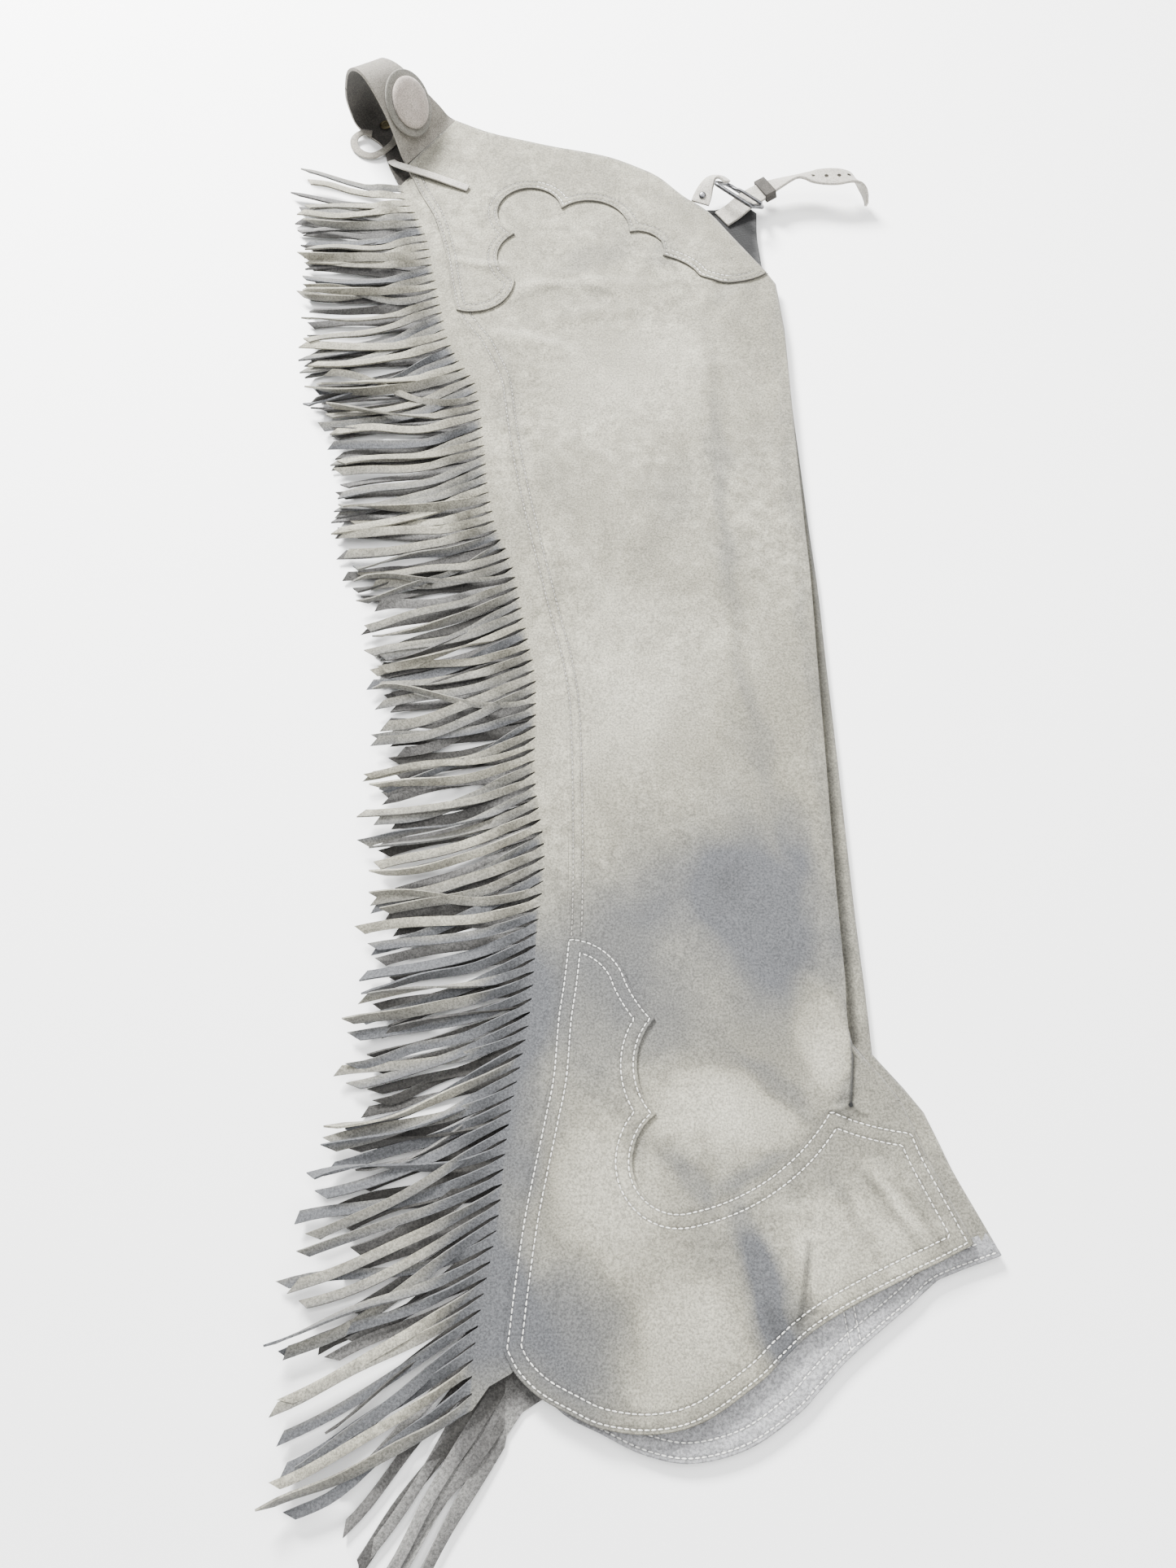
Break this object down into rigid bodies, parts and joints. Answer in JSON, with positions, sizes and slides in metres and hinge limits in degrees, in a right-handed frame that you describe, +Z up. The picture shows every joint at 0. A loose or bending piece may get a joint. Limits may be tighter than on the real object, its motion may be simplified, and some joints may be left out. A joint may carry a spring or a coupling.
{
  "type": "leather chaps",
  "caption": "Pair of fringed suede show chaps laid flat, one leg on the other, with scalloped yoke and hem trim, belt loop, button and buckled front strap.",
  "frame": {"origin": "middle of the pair's bounding box, on the surface that it lies on", "axes": "+Y from hem to waist, +Z up from the surface, fringe towards -X"},
  "size_m": [0.4744, 1.1076, 0.0725],
  "materials": {
    "grey_suede": "matt napped suede",
    "grey_suede_flesh_side": "rough flesh side of suede",
    "grey_belt_suede": "matt suede strap",
    "brass": "aged brass",
    "nickel_plated_steel": "polished nickel plate"
  },
  "bodies": {
    "root": {"right_leg": "grey_suede", "left_leg": "grey_suede", "right_yoke": "grey_suede", "left_yoke": "grey_suede", "right_trim": "grey_suede", "left_trim": "grey_suede", "right_fringe": "grey_suede", "left_fringe": "grey_suede_flesh_side", "back_belt": "grey_belt_suede", "concho": "grey_belt_suede", "concho_washer": "grey_suede", "belt_eyelet": "brass", "lace_loop": "grey_belt_suede", "lace_tail": "grey_belt_suede", "front_tab": "grey_belt_suede", "tab_rivet": "nickel_plated_steel", "buckle_frame": "nickel_plated_steel", "buckle_tongue": "nickel_plated_steel", "front_keeper": "grey_belt_suede", "front_strap": "grey_belt_suede"}
  },
  "joints": []
}
